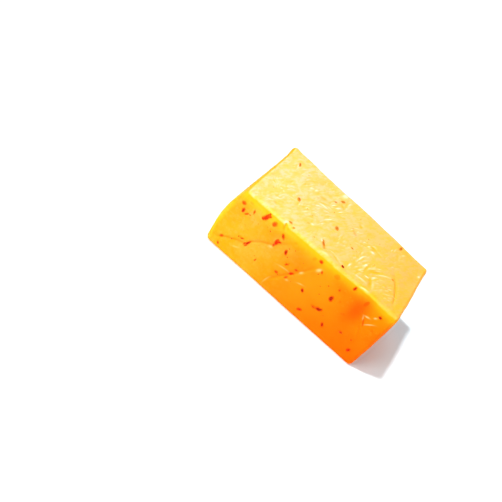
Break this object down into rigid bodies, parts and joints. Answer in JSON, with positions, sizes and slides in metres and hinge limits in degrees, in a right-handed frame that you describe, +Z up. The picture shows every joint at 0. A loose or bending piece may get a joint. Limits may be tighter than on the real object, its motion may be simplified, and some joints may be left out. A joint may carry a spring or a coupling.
{
  "type": "cheddar block with chilli flakes",
  "caption": "Wire-cut block of cheddar cheese with softly rounded edges, shallow curd seams and red chilli flakes set in every side.",
  "frame": {"origin": "centre of the bounding box's underside, on the flat face that the block rests on", "axes": "+X along the block towards its taller, narrower end; -Y is the cut face with the most flakes and seams; +Z up, away from the surface it lies on"},
  "size_m": [0.0714, 0.0452, 0.0292],
  "materials": {
    "cheddar": "moist, slightly oily semi-hard cheese with a soft waxy sheen and light passing into it",
    "chilli_red": "oily dried red chilli flesh, partly sunk in the cheese",
    "chilli_dark": "dark dried chilli skin, partly sunk in the cheese"
  },
  "bodies": {
    "root": {"cheddar_block": "cheddar"}
  },
  "joints": []
}
